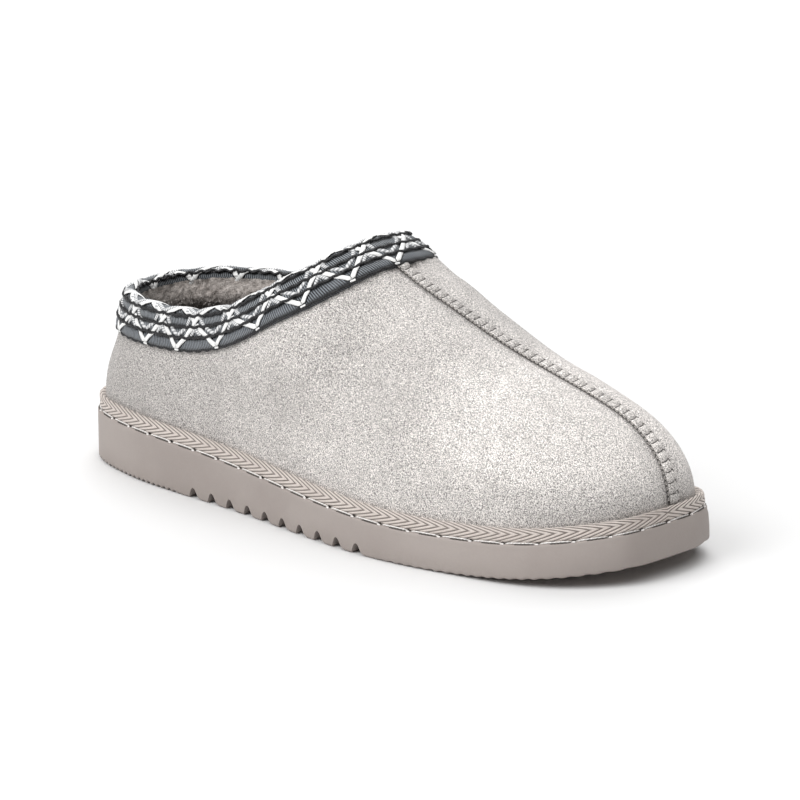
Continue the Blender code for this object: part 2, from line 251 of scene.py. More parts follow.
def unit(v):
    """Vectors scaled to length one."""
    return v / np.linalg.norm(v, axis=-1, keepdims=True)


def way_along(points):
    """Way along a line of points, from 0 at its start."""
    return np.concatenate([[0], np.cumsum(np.linalg.norm(np.diff(points, axis=0), axis=1))])


def outline(turn, inset=0.0):
    """Plan points inside the sole's edge; turn is 0 at the heel, pi at the toe, 0..pi lateral."""
    along, lateral, medial = columns(OUTLINE)
    angle = np.arccos(1 - 2 * along)
    knots = np.concatenate([[0], angle, [pi], 2 * pi - angle[::-1]])
    aside = BALL_WIDTH * np.concatenate([[0], -lateral, [TOE_SHIFT], medial[::-1]])

    def edge(at):
        return np.stack([LENGTH * (1 - np.cos(at)) / 2, loop_spline(knots, aside, at, 2 * pi)], -1)

    turn = np.asarray(turn, float)
    run = unit(edge(turn + 1e-4) - edge(turn - 1e-4))
    out = np.stack([run[..., 1], -run[..., 0]], -1)
    return edge(turn) - np.asarray(inset)[..., None] * out


def floor_height(x):
    """Height of the sole's underside: flat, then rising to the toe."""
    u = np.clip((x / LENGTH - SPRING_START) / (1 - SPRING_START), 0, 1.1)
    return TOE_SPRING * u ** 2


def sole_height(x):
    """Height of the sole's top."""
    return floor_height(x) + SOLE_HEEL + (SOLE_FORE - SOLE_HEEL) * ease((x / LENGTH - 0.15) / 0.56)


def toe_flare(turn):
    """How far the sole's wall leans in at its top, growing from the waist to the toe."""
    return TOE_FLARE * ease((outline(turn)[:, 0] / LENGTH - 0.3) / 0.6)


def upper_inset(turn):
    """How far the upper's foot stands inside the sole's edge: less round the heel."""
    near = 1 - ease(outline(turn)[..., 0] / (HEEL_REACH * LENGTH))
    return UPPER_INSET + (HEEL_INSET - UPPER_INSET) * near


def base_line(side, share):
    """Foot of the upper on the sole's top; side is -1 lateral or 1 medial, share 0 heel to 1 toe."""
    turn = np.linspace(0, pi, 400) if side < 0 else np.linspace(2 * pi, pi, 400)
    edge = outline(turn, upper_inset(turn))
    way = way_along(edge)
    x, y = (np.interp(np.asarray(share) * way[-1], way, edge[:, i]) for i in (0, 1))
    return np.stack([x, y, sole_height(x) + CLEAR], -1)


def collar(turn, down=0.0, out=0.0):
    """Point of the collar: down from the upper's edge along its wall, and out from its skin."""
    turns, along, aside, height, slope = columns(COLLAR)

    def top(at):
        sizes = ((along, LENGTH), (aside, BALL_WIDTH), (height, INSTEP_HEIGHT))
        return np.stack([loop_spline(turns, col * size, at, 360) for col, size in sizes], -1)

    turn = np.asarray(turn, float)
    run = unit(top(turn + 0.5) - top(turn - 0.5))
    away = unit(np.stack([run[..., 1], -run[..., 0], 0 * run[..., 0]], -1))
    angle = np.radians(loop_spline(turns, slope, turn, 360))[..., None]
    fall = np.cos(angle) * away - np.sin(angle) * UP
    fall = unit(fall - (fall * run).sum(-1, keepdims=True) * run)
    normal = np.cross(fall, run)
    edge = top(turn) + ROLL * fall + WALL / 2 * normal
    point = edge + np.asarray(down)[..., None] * fall + np.asarray(out)[..., None] * normal
    return point, run, fall, normal


def ridge(share):
    """Point and forward direction of the ridge, 0 at the braid's lower edge to 1 at the toe."""
    along, fall = columns(RIDGE)
    start, _, slope, _ = collar(180.0, BAND)
    toe = base_line(-1, 1.0) + RIDGE_END * UP
    lead = start - 0.004 * slope
    x = start[0] + (toe[0] - start[0]) * np.concatenate([[0], along, [1]])
    z = start[2] + (toe[2] - start[2]) * np.concatenate([[0], fall, [1]])
    x = np.concatenate([[lead[0]], x, [toe[0]]])
    z = np.concatenate([[lead[2]], z, [toe[2] - RIDGE_END]])
    way = np.concatenate([[0], np.cumsum(np.hypot(np.diff(x), np.diff(z)))])
    first, last = way[1], way[-2]

    def at(s):
        run = first + s * (last - first)
        px = spline(way, x, run)
        py = start[1] + (toe[1] - start[1]) * ease((px - start[0]) / (toe[0] - start[0]))
        return np.stack([px, py, spline(way, z, run)], -1)

    share = np.asarray(share, float)
    return at(share), unit(at(share + 1e-3) - at(share - 1e-3))


def skin(side, top, share):
    """Outer skin below the braid: side -1 or 1, top 0..2 as in SIDE, share 0 sole to 1 top."""
    tops, base, *swings, rise, lateral, medial = columns(SIDE)
    foot = base_line(side, spline(tops, base, top))
    turn = np.radians(spline(tops, swings[0 if side < 0 else 1], top))
    if top <= 1:
        end, run, fall, _ = collar(180 * top if side < 0 else 360 - 180 * top, BAND)
        ahead = run if side < 0 else -run
        leave = np.cos(turn) * fall - np.sin(turn) * ahead
    else:
        end, forward = ridge(top - 1)
        leave = np.cos(turn) * forward + np.sin(turn) * np.array([0, side, 0])
    length = np.linalg.norm(end - foot)
    first = foot + spline(tops, rise, top) * length * UP
    second = end + spline(tops, lateral if side < 0 else medial, top) * length * leave
    s = np.asarray(share, float)[..., None]
    return ((1 - s) ** 3 * foot + 3 * s * (1 - s) ** 2 * first
            + 3 * s ** 2 * (1 - s) * second + s ** 3 * end)


def shoe_origin():
    """Floor point under the middle of the sole's box."""
    edge = outline(np.linspace(0, 2 * pi, 88, endpoint=False))
    middle = (edge.min(0) + edge.max(0)) / 2
    return np.array([middle[0], middle[1], 0.0])


ORIGIN = shoe_origin()


class Field:
    """A socket's value in a material, with arithmetic."""

    def __init__(self, paint, socket):
        self.paint, self.socket = paint, socket

    def math(self, operation, *values):
        node = self.paint.add("Math", dict(enumerate(values)), operation=operation)
        return Field(self.paint, node.outputs[0])

    def __add__(self, other):
        return self.math("ADD", self, other)

    def __sub__(self, other):
        return self.math("SUBTRACT", self, other)

    def __rsub__(self, other):
        return self.math("SUBTRACT", other, self)

    def __mul__(self, other):
        return self.math("MULTIPLY", self, other)

    def __truediv__(self, other):
        return self.math("DIVIDE", self, other)

    def __pow__(self, other):
        return self.math("POWER", self, other)

    __radd__ = __add__
    __rmul__ = __mul__

    def wave(self):
        """Sine of the value, moved to 0..1."""
        return self.math("SINE", self) * 0.5 + 0.5

    def size(self):
        return self.math("ABSOLUTE", self)

    def rest(self):
        return self.math("FRACT", self)

    def span(self, low, high):
        """0 to 1 as the value goes from low to high, smoothly."""
        sockets = {"Value": self, "From Min": low, "From Max": high}
        node = self.paint.add("MapRange", sockets, interpolation_type="SMOOTHSTEP")
        return Field(self.paint, node.outputs["Result"])


class Paint:
    """A material made of fields."""

    def __init__(self, name):
        self.material = bpy.data.materials.new(name)
        self.material.use_nodes = True
        self.tree = self.material.node_tree
        self.shader = self.tree.nodes["Principled BSDF"]

    def add(self, kind, sockets=None, **settings):
        """Adds a node with its settings and the values or links of its sockets."""
        node = self.tree.nodes.new("ShaderNode" + kind)
        for name, value in settings.items():
            setattr(node, name, value)
        for key, value in (sockets or {}).items():
            self.put(node.inputs[key], value)
        return node

    def put(self, socket, value):
        if isinstance(value, Field):
            self.tree.links.new(value.socket, socket)
        else:
            socket.default_value = value

    def place(self):
        """The place on the shoe, in metres."""
        return Field(self, self.add("TexCoord").outputs["Object"])

    def along(self):
        """The piece's own map as two fields, in metres."""
        split = self.add("SeparateXYZ", {0: Field(self, self.add("UVMap").outputs[0])})
        return Field(self, split.outputs["X"]), Field(self, split.outputs["Y"])

    def parts(self):
        """The place on the shoe as three fields."""
        split = self.add("SeparateXYZ", {0: self.place()})
        return [Field(self, split.outputs[i]) for i in range(3)]

    def noise(self, scale, detail=2.0, roughness=0.5):
        sockets = {"Vector": self.place(), "Scale": scale, "Detail": detail, "Roughness": roughness}
        return Field(self, self.add("TexNoise", sockets).outputs[0])

    def mix(self, factor, first, second):
        """A colour between two colours."""
        node = self.add("Mix", {0: factor, 6: colour(first), 7: colour(second)}, data_type="RGBA")
        return Field(self, node.outputs[2])

    def shade(self, base, factor):
        """A colour made darker or brighter by a factor."""
        sockets = {0: 1.0, 6: colour(base), 7: factor}
        node = self.add("Mix", sockets, data_type="RGBA", blend_type="MULTIPLY")
        return Field(self, node.outputs[2])

    def bump(self, height, distance, strength=1.0, normal=None):
        sockets = {"Height": height, "Distance": distance, "Strength": strength}
        if normal:
            sockets["Normal"] = normal
        return Field(self, self.add("Bump", sockets).outputs[0])

    def finish(self, **sockets):
        for name, value in sockets.items():
            self.put(self.shader.inputs[name.replace("_", " ")], colour(value))
        return self.material


def colour(value):
    """Three numbers as a colour; anything else as it is."""
    return (*value, 1.0) if isinstance(value, tuple) and len(value) == 3 else value


def to_mesh(name, bm):
    """Mesh from a bmesh, which is freed."""
    mesh = bpy.data.meshes.new(name)
    bm.to_mesh(mesh)
    bm.free()
    return mesh


def show(name, data):
    """Object of the data, in the scene."""
    thing = bpy.data.objects.new(name, data)
    bpy.context.scene.collection.objects.link(thing)
    return thing


def drop(thing):
    """Removes an object and its mesh."""
    mesh = thing.data
    bpy.data.objects.remove(thing)
    bpy.data.meshes.remove(mesh)


def applied(thing):
    """Mesh of an object with its modifiers applied; the object goes."""
    graph = bpy.context.evaluated_depsgraph_get()
    result = bpy.data.meshes.new_from_object(thing.evaluated_get(graph))
    drop(thing)
    return result


def read(mesh, kind="co"):
    """Places or normals of a mesh's points."""
    flat = np.empty(3 * len(mesh.vertices))
    if kind == "co":
        mesh.vertices.foreach_get("co", flat)
    else:
        mesh.vertex_normals.foreach_get("vector", flat)
    return flat.reshape(-1, 3)


def grid_mesh(steps, spots, sizes=(1.0, 1.0)):
    """Mesh of a grid of steps laid out by spots(u, v), both 0 to 1, with its map in metres."""
    bm = bmesh.new()
    bmesh.ops.create_grid(bm, x_segments=steps[0], y_segments=steps[1], size=0.5)
    mesh = to_mesh("grid", bm)
    u, v = np.clip(read(mesh)[:, :2].T + 0.5, 0, 1)
    mesh.vertices.foreach_set("co", spots(u, v).ravel())
    corner = np.empty(len(mesh.loops), int)
    mesh.loops.foreach_get("vertex_index", corner)
    layer = mesh.uv_layers.new(name="UVMap")
    layer.data.foreach_set("uv", np.c_[u * sizes[0], v * sizes[1]][corner].ravel())
    return mesh


def join(meshes):
    """One bmesh of several meshes, which are removed."""
    bm = bmesh.new()
    for mesh in meshes:
        bm.from_mesh(mesh)
        bpy.data.meshes.remove(mesh)
    return bm


def make(name, bm, material, merge=1e-6, crease=None):
    """Object from the mesh, merged, faces turned out, smooth, and set in the shoe's frame."""
    bmesh.ops.remove_doubles(bm, verts=bm.verts, dist=merge)
    bmesh.ops.recalc_face_normals(bm, faces=bm.faces)
    bmesh.ops.translate(bm, vec=Vector(-ORIGIN), verts=bm.verts)
    mesh = to_mesh(name, bm)
    mesh.shade_smooth()
    if crease:
        mesh.set_sharp_from_angle(angle=radians(crease))
    mesh.materials.append(material)
    thing = show(name, mesh)
    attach(thing, "root")
    return thing


def tube(path, normal, wide, high, around=8, pointed=True):
    """Mesh of a cord along a path, flat side to the normal, closed at both ends if pointed."""
    count = len(path)
    run = unit(np.gradient(path, axis=0))
    side = unit(np.cross(normal, run))
    over = np.cross(run, side)
    wide, high = (np.broadcast_to(each, count).copy() for each in (wide, high))
    if pointed:
        wide[[0, -1]] = 0.0
        high[[0, -1]] = 0.0
    length = np.linalg.norm(np.diff(path, axis=0), axis=1).sum()

    def spots(u, v):
        i = np.rint(u * (count - 1)).astype(int)
        a = 2 * pi * v[:, None]
        return path[i] + wide[i, None] * np.cos(a) * side[i] + high[i, None] * np.sin(a) * over[i]

    return grid_mesh((count - 1, around), spots, (length, 2 * pi * float(wide.max())))


# Collar braid geometry

TURNS = np.linspace(0, 360, 2881)
WAY = way_along(collar(TURNS, BAND / 2)[0])
LOOP = WAY[-1]
LOW = np.concatenate([LACE_LOW, np.linspace(LACE_LOW[-1], LACE_LOW[0] + LOOP, LACES - 5)[1:]])
HIGH = np.concatenate([LACE_HIGH, (LOW[len(LACE_HIGH):-1] + LOW[len(LACE_HIGH) + 1:]) / 2])
HIGH = np.concatenate([[HIGH[-1] - LOOP], HIGH, [HIGH[0] + LOOP]])


def lace_way(phase, w):
    """Way round the collar of a lace at a phase, in laces, and a height w up the braid."""
    lap = np.floor(phase / LACES)
    phase = phase - lap * LACES
    low = np.interp(phase, np.arange(LACES + 1), LOW)
    high = np.interp(phase, np.arange(LACES + 2) - 0.5, HIGH)
    share = np.clip((w - LACE_FOOT) / (LACE_CROSS - LACE_FOOT), 0, 1)
    return low + (high - low) * share + lap * LOOP


def section():
    """Base line of the braid's cross-section: down and out along it, with its normals."""
    arc = np.linspace(0, pi, 25)
    outside = np.linspace(BAND, 0, 30)[:-1]
    inside = np.linspace(0, BAND_INSIDE, 16)[1:]
    middle = BASE_OUT - ROLL_RADIUS
    down = np.concatenate([outside, -ROLL_RADIUS * np.sin(arc), inside])
    out = np.concatenate([outside * 0 + BASE_OUT, middle + ROLL_RADIUS * np.cos(arc),
                          inside * 0 + (middle - ROLL_RADIUS)])
    way = np.concatenate([[0], np.cumsum(np.hypot(np.diff(down), np.diff(out)))])
    normal_down = np.concatenate([outside * 0, -np.sin(arc), inside * 0])
    normal_out = np.concatenate([outside * 0 + 1, np.cos(arc), inside * 0 - 1])
    return way, down, out, normal_down, normal_out


SECTION = section()


def rope_rise(w):
    """Height of the rope rows over the braid's base line."""
    edges = np.array(ROPES)
    row = np.clip(np.searchsorted(edges, w, side="right") - 1, 0, len(edges) - 2)
    half = (edges[row + 1] - edges[row]) / 2
    across = np.clip((w - edges[row] - half) / half, -1, 1)
    low = np.where(row == len(edges) - 2, 0.6, 1.0)
    return ROPE_RISE * low * np.sqrt(np.clip(1 - 0.96 * across ** 2, 0, 1))


def band_drop(s):
    """How much lower the braid reaches on the outer flank of the instep."""
    front = LACE_LOW[-1]
    off = np.mod(s - front + LOOP / 2, LOOP) - LOOP / 2
    return BAND_DROP * np.exp(-((off + DROP_BACK) / DROP_REACH) ** 2)


def braid(s, w, lift=0.0):
    """Point and normal on the braid: s metres round the collar, w metres up and over its section."""
    turn = np.interp(np.mod(s, LOOP), WAY, TURNS)
    way, down, out, normal_down, normal_out = SECTION
    d, o, nd, no = (np.interp(w, way, each) for each in (down, out, normal_down, normal_out))
    below = np.where(w < 0, -w, 0.0) + band_drop(s) * np.clip(1 - w / ROPES[2], 0, 1)
    point, run, fall, normal = collar(turn, d + below + nd * lift, o + no * lift)
    return point, nd[..., None] * fall + no[..., None] * normal


# Finishes

def suede_paint(name, tint):
    """Microsuede napped by brushing: mottled nap that lies in patches, fine grain, slight sheen, painted
    shade towards the heel and on the low toe front, and a painted highlight on the toe box.
    """
    p = Paint(name)
    patches = p.noise(24.0, 4.0, 0.6)
    stroke = p.noise(110.0, 3.0, 0.6)
    grain = p.noise(2750.0, 1.0, 0.6)
    fibre = p.noise(1500.0, 2.0, 0.7)
    tone = patches.span(0.32, 0.68) * 0.6 + stroke.span(0.3, 0.7) * 0.4
    base = p.mix(tone, tuple(c * 0.86 for c in tint), tuple(c * 1.08 for c in tint))
    x, _, z = p.parts()
    # painted shade: the suede is darkened towards the heel and on the low front of the toe
    heel = 1 - x.span(-0.128, 0.005)
    toe = x.span(0.085, 0.125) * (1 - z.span(0.022, 0.038))
    base = p.mix((heel + toe * 0.9) * 0.70, base, tuple(c * 0.62 for c in tint))
    # painted highlight: the toe box is lightened
    toe_box_painted_highlight = x.span(0.040, 0.090) * z.span(0.028, 0.046)
    speck = grain.span(0.38, 0.62) * 0.72 + fibre.span(0.36, 0.64) * 0.28
    base = p.shade(base, (0.24 + 1.52 * speck) * (1 + 0.26 * toe_box_painted_highlight))
    normal = p.bump(fibre * 0.4 + grain * 0.6, 0.0006, 1.0)
    normal = p.bump(patches, 0.0014, 0.3, normal)
    p.shader.inputs["Sheen Weight"].default_value = 0.3
    p.shader.inputs["Sheen Roughness"].default_value = 0.5
    p.shader.inputs["Sheen Tint"].default_value = (0.95, 0.93, 0.91, 1)
    p.shader.inputs["Specular IOR Level"].default_value = 0.12
    return p.finish(Base_Color=base, Roughness=0.86 + 0.1 * stroke, Normal=normal)


def rubber_paint():
    """Moulded rubber: warm taupe, satin, faint flow marks and scuffs near the floor."""
    p = Paint("sole_rubber")
    cloud = p.noise(18.0, 4.0, 0.6)
    fine = p.noise(900.0, 3.0, 0.6)
    z = p.parts()[2]
    low = 1 - z.span(0.0015, 0.008)
    tone = cloud.span(0.3, 0.7) * 0.7 + fine * 0.3
    base = p.mix(tone, (0.325, 0.283, 0.262), (0.392, 0.348, 0.324))
    base = p.mix(low * 0.35 * fine.span(0.35, 0.65), base, (0.30, 0.26, 0.235))
    normal = p.bump(fine, 0.00012, 0.55)
    normal = p.bump(cloud, 0.0006, 0.18, normal)
    p.shader.inputs["Specular IOR Level"].default_value = 0.35
    return p.finish(Base_Color=base, Roughness=0.52 + 0.2 * cloud, Normal=normal)


def tape_paint():
    """Woven herringbone tape: light taupe strands, dark between them."""
    p = Paint("tape_weave")
    u, v = p.along()
    strand = chevron(u, v)
    fibre = p.noise(2600.0, 2.0, 0.6)
    cloud = p.noise(60.0, 3.0)
    twist = ((u + v * 2.4) * (2 * pi / 0.0013)).wave()
    base = p.mix(strand.span(0.30, 0.98), (0.17, 0.140, 0.123), (0.72, 0.650, 0.602))
    base = p.mix(fibre.span(0.3, 0.7) * 0.35 + twist * 0.15, base, (0.42, 0.365, 0.33))
    base = p.mix(cloud.span(0.4, 0.7) * 0.2, base, (0.40, 0.34, 0.31))
    normal = p.bump(strand.span(0.1, 0.8) + fibre * 0.2, 0.0004, 0.6)
    p.shader.inputs["Sheen Weight"].default_value = 0.2
    return p.finish(Base_Color=base, Roughness=0.78, Normal=normal)


def chevron(u, v):
    """Height of the herringbone: 1 in the middle of a strand, 0 between two."""
    bend = (v - TIP * TAPE_HEIGHT).size() * CHEVRON
    phase = ((u + bend) / TAPE_PITCH).rest()
    return 1 - (phase * 2 - 1).size() ** 2.4


def rope_paint():
    """Satin-wrapped rope of the braid: slate, fine slanting ribs, soft shine, painted shade between ribs
    and rows.
    """
    p = Paint("braid_rope")
    u, v = p.along()
    rib = ((u + v * 0.35) * (2 * pi / ROPE_RIB)).wave()
    shade = p.noise(140.0, 3.0)
    fibre = p.noise(3600.0, 2.0)
    upper_row = v.span(ROPES[1], ROPES[2])
    base = p.mix(upper_row, (0.22, 0.245, 0.275), (0.34, 0.37, 0.40))
    # painted shade: near-black in the valleys between the ribs
    base = p.mix(rib.span(0.25, 0.85), (0.006, 0.007, 0.009), base)
    base = p.mix(shade.span(0.45, 0.75) * 0.3, base, (0.20, 0.215, 0.24))
    base = p.mix(fibre.span(0.5, 0.8) * 0.15, base, (0.40, 0.42, 0.45))
    # painted shade: darker towards the edges of each rope row
    crown = 1.0
    for w in ROPES:
        crown = (v - (w + ROPE_TUCK)).size().span(0.0002, 0.0016) * crown
    base = p.mix((1 - crown) * 0.85, base, (0.012, 0.013, 0.016))
    normal = p.bump(rib + fibre * 0.2, 0.00035, 0.9)
    p.shader.inputs["Sheen Weight"].default_value = 0.2
    return p.finish(Base_Color=base, Roughness=0.42 + 0.2 * shade, Normal=normal)


def cord_paint(name, dark, light, pitch, roughness):
    """Twisted cord: two tones that wind round it."""
    p = Paint(name)
    u, v = p.along()
    ply = (u * (2 * pi / pitch) + v * (2 * pi / 0.0032)).wave()
    fibre = p.noise(4200.0, 2.0)
    base = p.mix(ply.span(0.2, 0.8) * 0.8 + fibre * 0.2, dark, light)
    normal = p.bump(ply + fibre * 0.3, 0.0002, 0.8)
    return p.finish(Base_Color=base, Roughness=roughness, Normal=normal)


def fleece_paint():
    """Plush lining: clumped pile, taupe, darker between the clumps, with painted shade down in the shoe.
    """
    p = Paint("fleece_pile")
    clump = p.noise(330.0, 4.0, 0.75)
    fibre = p.noise(1700.0, 3.0, 0.75)
    wide = p.noise(45.0, 2.0)
    x, _, z = p.parts()
    tone = clump.span(0.3, 0.7) * 0.6 + fibre.span(0.3, 0.7) * 0.4
    base = p.mix(tone, (0.24, 0.200, 0.175), (0.92, 0.85, 0.80))
    base = p.mix(wide.span(0.4, 0.7) * 0.2, base, (0.80, 0.73, 0.68))
    # painted shade: near-black low in the shoe, reaching higher towards the front under the vamp
    depth = z - x.span(-0.062, -0.004) * 0.034
    base = p.mix((1 - depth.span(0.048, 0.068)) * 0.94, base, (0.040, 0.032, 0.029))
    normal = p.bump(clump * 0.6 + fibre * 0.4, 0.0018, 0.9)
    p.shader.inputs["Sheen Weight"].default_value = 0.5
    p.shader.inputs["Sheen Roughness"].default_value = 0.5
    p.shader.inputs["Specular IOR Level"].default_value = 0.1
    return p.finish(Base_Color=base, Roughness=0.95, Normal=normal)


SUEDE = suede_paint("suede", (0.605, 0.574, 0.552))
SEAM_SUEDE = suede_paint("seam_suede", (0.550, 0.522, 0.500))
RUBBER = rubber_paint()
TAPE = tape_paint()
ROPE = rope_paint()
BLACK = cord_paint("black_cord", (0.003, 0.003, 0.004), (0.014, 0.014, 0.016), 0.0011, 0.5)
WHITE = cord_paint("white_lace", (0.84, 0.84, 0.83), (0.95, 0.95, 0.94), 0.0024, 0.6)
GREY = cord_paint("grey_lace", (0.30, 0.31, 0.32), (0.90, 0.90, 0.90), 0.0011, 0.6)
# painted shade: dark cords along the seam's edges and between its lobes
PAINTED_SEAM_SHADE = cord_paint("seam_painted_shade_cord", (0.030, 0.027, 0.025), (0.080, 0.072, 0.067), 0.0009, 0.6)
# painted shadow: dark cords for the shade in the welt groove beside the stitches
PAINTED_GROOVE_SHADOW = cord_paint("stitch_painted_shadow", (0.050, 0.043, 0.038), (0.12, 0.105, 0.095), 0.0014, 0.8)
CLEAR_THREAD = cord_paint("clear_thread", (0.78, 0.74, 0.71), (0.95, 0.92, 0.90), 0.0016, 0.25)
PALE = cord_paint("pale_thread", (0.34, 0.31, 0.29), (0.62, 0.58, 0.55), 0.0012, 0.6)
FLEECE = fleece_paint()


# Pieces

def upper_shell():
    """Grid of the upper as in its solid, before its wall: bmesh of quads."""
    tops = np.concatenate([np.linspace(0, 1, COLLAR_STEPS + 1),
                           np.linspace(1, 2, RIDGE_STEPS + 1)[1:]])
    share = np.linspace(0, 1, SECTION_STEPS + 1)
    bm = bmesh.new()
    eased = []
    for side in (-1, 1):
        lines = [[bm.verts.new(p) for p in skin(side, top, share)] for top in tops]
        eased += [v for line, top in zip(lines, tops) if EASED_FROM < top < EASED_TO
                  for v in line[2:-1]]
        for step, top in enumerate(tops[:COLLAR_STEPS + 1]):
            turn = 180 * top if side < 0 else 360 - 180 * top
            for down in (BAND / 2, 0.0):
                lines[step].append(bm.verts.new(collar(turn, down)[0]))
        for left, right in zip(lines, lines[1:]):
            for i in range(min(len(left), len(right)) - 1):
                bm.faces.new((left[i], right[i], right[i + 1], left[i + 1]))
    for _ in range(EASE_PASSES):
        bmesh.ops.smooth_vert(bm, verts=eased, factor=0.5, use_axis_x=True, use_axis_y=True,
                              use_axis_z=True)
    bmesh.ops.remove_doubles(bm, verts=bm.verts, dist=1e-5)
    bmesh.ops.recalc_face_normals(bm, faces=bm.faces)
    return bm


def fine_shell(levels):
    """Mesh of the upper's skin, made fine by subdivision."""
    thing = show("shell", to_mesh("shell", upper_shell()))
    fine = thing.modifiers.new("fine", "SUBSURF")
    fine.levels = fine.render_levels = levels
    fine.boundary_smooth = "PRESERVE_CORNERS"
    return applied(thing)


CREASES = (
    # x, y, z, dx, dy, dz, length, width, depth: soft troughs (minus) and ridges
    (0.186, -0.036, 0.066, 0.55, -0.25, -0.80, 0.020, 0.0045, -0.0007),
    (0.172, -0.040, 0.058, 0.70, -0.20, -0.68, 0.022, 0.0055, -0.0006),
    (0.205, -0.038, 0.052, 0.80, -0.10, -0.55, 0.018, 0.0050, -0.0005),
    (0.120, -0.041, 0.045, 1.00, 0.00, -0.10, 0.030, 0.0070, -0.0006),
    (0.060, -0.036, 0.046, 1.00, 0.10, 0.05, 0.026, 0.0065, -0.0005),
    (0.030, -0.028, 0.040, 0.60, -0.60, 0.10, 0.022, 0.0070, -0.0006),
    (0.020, 0.000, 0.045, 0.00, 1.00, 0.00, 0.024, 0.0070, -0.0005),
    (0.100, 0.040, 0.046, 1.00, 0.00, -0.05, 0.030, 0.0070, -0.0006),
    (0.165, 0.036, 0.056, 0.80, 0.15, -0.55, 0.024, 0.0060, -0.0006),
    (0.235, -0.034, 0.040, 0.70, 0.30, -0.20, 0.022, 0.0080, 0.0004),
    (0.240, 0.038, 0.036, 0.80, 0.30, -0.10, 0.022, 0.0080, 0.0004),
    (0.172, 0.020, 0.086, 0.82, 0.10, -0.56, 0.040, 0.0130, 0.0016),
    (0.163, 0.023, 0.087, 0.82, 0.10, -0.56, 0.013, 0.0120, 0.0024),
)


def crease_depth(spots):
    """How far the suede's creases move each spot along its normal."""
    depth = np.zeros(len(spots))
    for x, y, z, dx, dy, dz, length, width, deep in CREASES:
        line = unit(np.array([dx, dy, dz]))
        off = spots - np.array([x, y, z])
        run = off @ line
        side = np.linalg.norm(off - run[:, None] * line, axis=1)
        depth += deep * np.exp(-(run / length) ** 2 - (side / width) ** 2)
    return depth


def make_upper():
    """Suede upper: the fine skin with its soft creases and a hollow beside the seam."""
    mesh = fine_shell(2)
    spots, normals = read(mesh), read(mesh, "normal")
    path = ridge(np.linspace(0, 1, 200))[0]
    from_seam = np.array([np.linalg.norm(path - s, axis=1).min() for s in spots])
    valley = -0.0006 * np.exp(-((from_seam - 0.0042) / 0.0022) ** 2)
    swell = 0.0005 * np.exp(-((from_seam - 0.010) / 0.005) ** 2)
    lift = crease_depth(spots) + valley + swell
    mesh.vertices.foreach_set("co", (spots + normals * lift[:, None]).ravel())
    thing = make("suede_upper", join([mesh]), SUEDE)
    wall = thing.modifiers.new("wall", "SOLIDIFY")
    wall.thickness = SUEDE_THICK
    wall.offset = -1
    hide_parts("upper")


def make_lining():
    """Fleece lining: the skin moved in by the wall, plump and uneven with seeded pile."""
    mesh = fine_shell(3)
    spots, normals = read(mesh), read(mesh, "normal")
    lumps = (np.sin(spots[:, 0] * 900 + 3 * np.sin(spots[:, 2] * 700))
             * np.sin(spots[:, 2] * 850 + 2 * np.sin(spots[:, 1] * 640)))
    pile = np.random.default_rng(11).uniform(-1, 1, len(spots))
    high = ease((spots[:, 2] - sole_height(spots[:, 0]) - 0.008) / 0.01)
    rise = WALL - 0.0001 + 0.0003 * (1 + lumps) + high * (0.0012 + 0.00045 * pile)
    edge = collar(np.arange(0, 360, 1.0))[0]
    below = np.array([np.linalg.norm(edge - s, axis=1).min() for s in spots])
    rise = rise + PLUMP * np.exp(-((below - 0.0080) / 0.0050) ** 2)
    spots = spots - normals * rise[:, None]
    mesh.vertices.foreach_set("co", spots.ravel())
    thing = make("fleece_lining", join([mesh]), FLEECE)
    make_tufts(spots, -normals, below)


def make_tufts(spots, inward, below):
    """Seeded tufts of pile on the part of the lining that shows."""
    chance = np.random.default_rng(5)
    shown = np.flatnonzero((below > TUFT_FROM) & (below < TUFT_REACH))
    picked = chance.choice(shown, TUFTS)
    meshes = []
    for i in picked:
        lean = inward[i] + chance.normal(0, 0.55, 3) - 0.35 * UP
        foot = spots[i] + chance.normal(0, 0.0006, 3)
        bend = chance.normal(0, 0.00025, 3)
        way = unit(lean)
        path = np.array([foot, foot + way * 0.0008 + bend, foot + way * TUFT_LONG])
        flat = unit(np.cross(lean, UP + 0.1))
        meshes.append(tube(path, np.tile(flat, (3, 1)), *TUFT_SIZE, 3))
    make("fleece_tufts", join(meshes), FLEECE, merge=1e-7)


def make_insole():
    """Fleece insole: a domed pad on the footbed."""
    turns = np.linspace(0, 2 * pi, 361)
    edge = outline(turns, upper_inset(turns) + WALL + INSOLE_GAP)

    def aside(half):
        order = np.argsort(half[:, 0])
        return np.interp(edge[:, 0], half[order, 0], half[order, 1])

    middle = np.stack([edge[:, 0], (aside(edge[:181]) + aside(edge[180:])) / 2], -1)

    def spots(u, v):
        i = np.rint(u * 360).astype(int)
        inward = np.clip((v - 0.3) / 0.7, 0, 1)[:, None]
        plan = edge[i] + (middle[i] - edge[i]) * inward
        dome = ease(np.clip(v / 0.3, 0, 1)) * 0.0037 + 0.0012 * ease(inward[:, 0] * 2.0)
        lumps = 0.0003 * np.sin(plan[:, 0] * 1100) * np.sin(plan[:, 1] * 1250 + plan[:, 0] * 300)
        z = sole_height(plan[:, 0]) + CLEAR + dome + lumps * (v > 0.3)
        return np.c_[plan, z]

    thing = make("fleece_insole", join([grid_mesh((360, 26), spots)]), FLEECE)
    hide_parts("insole")


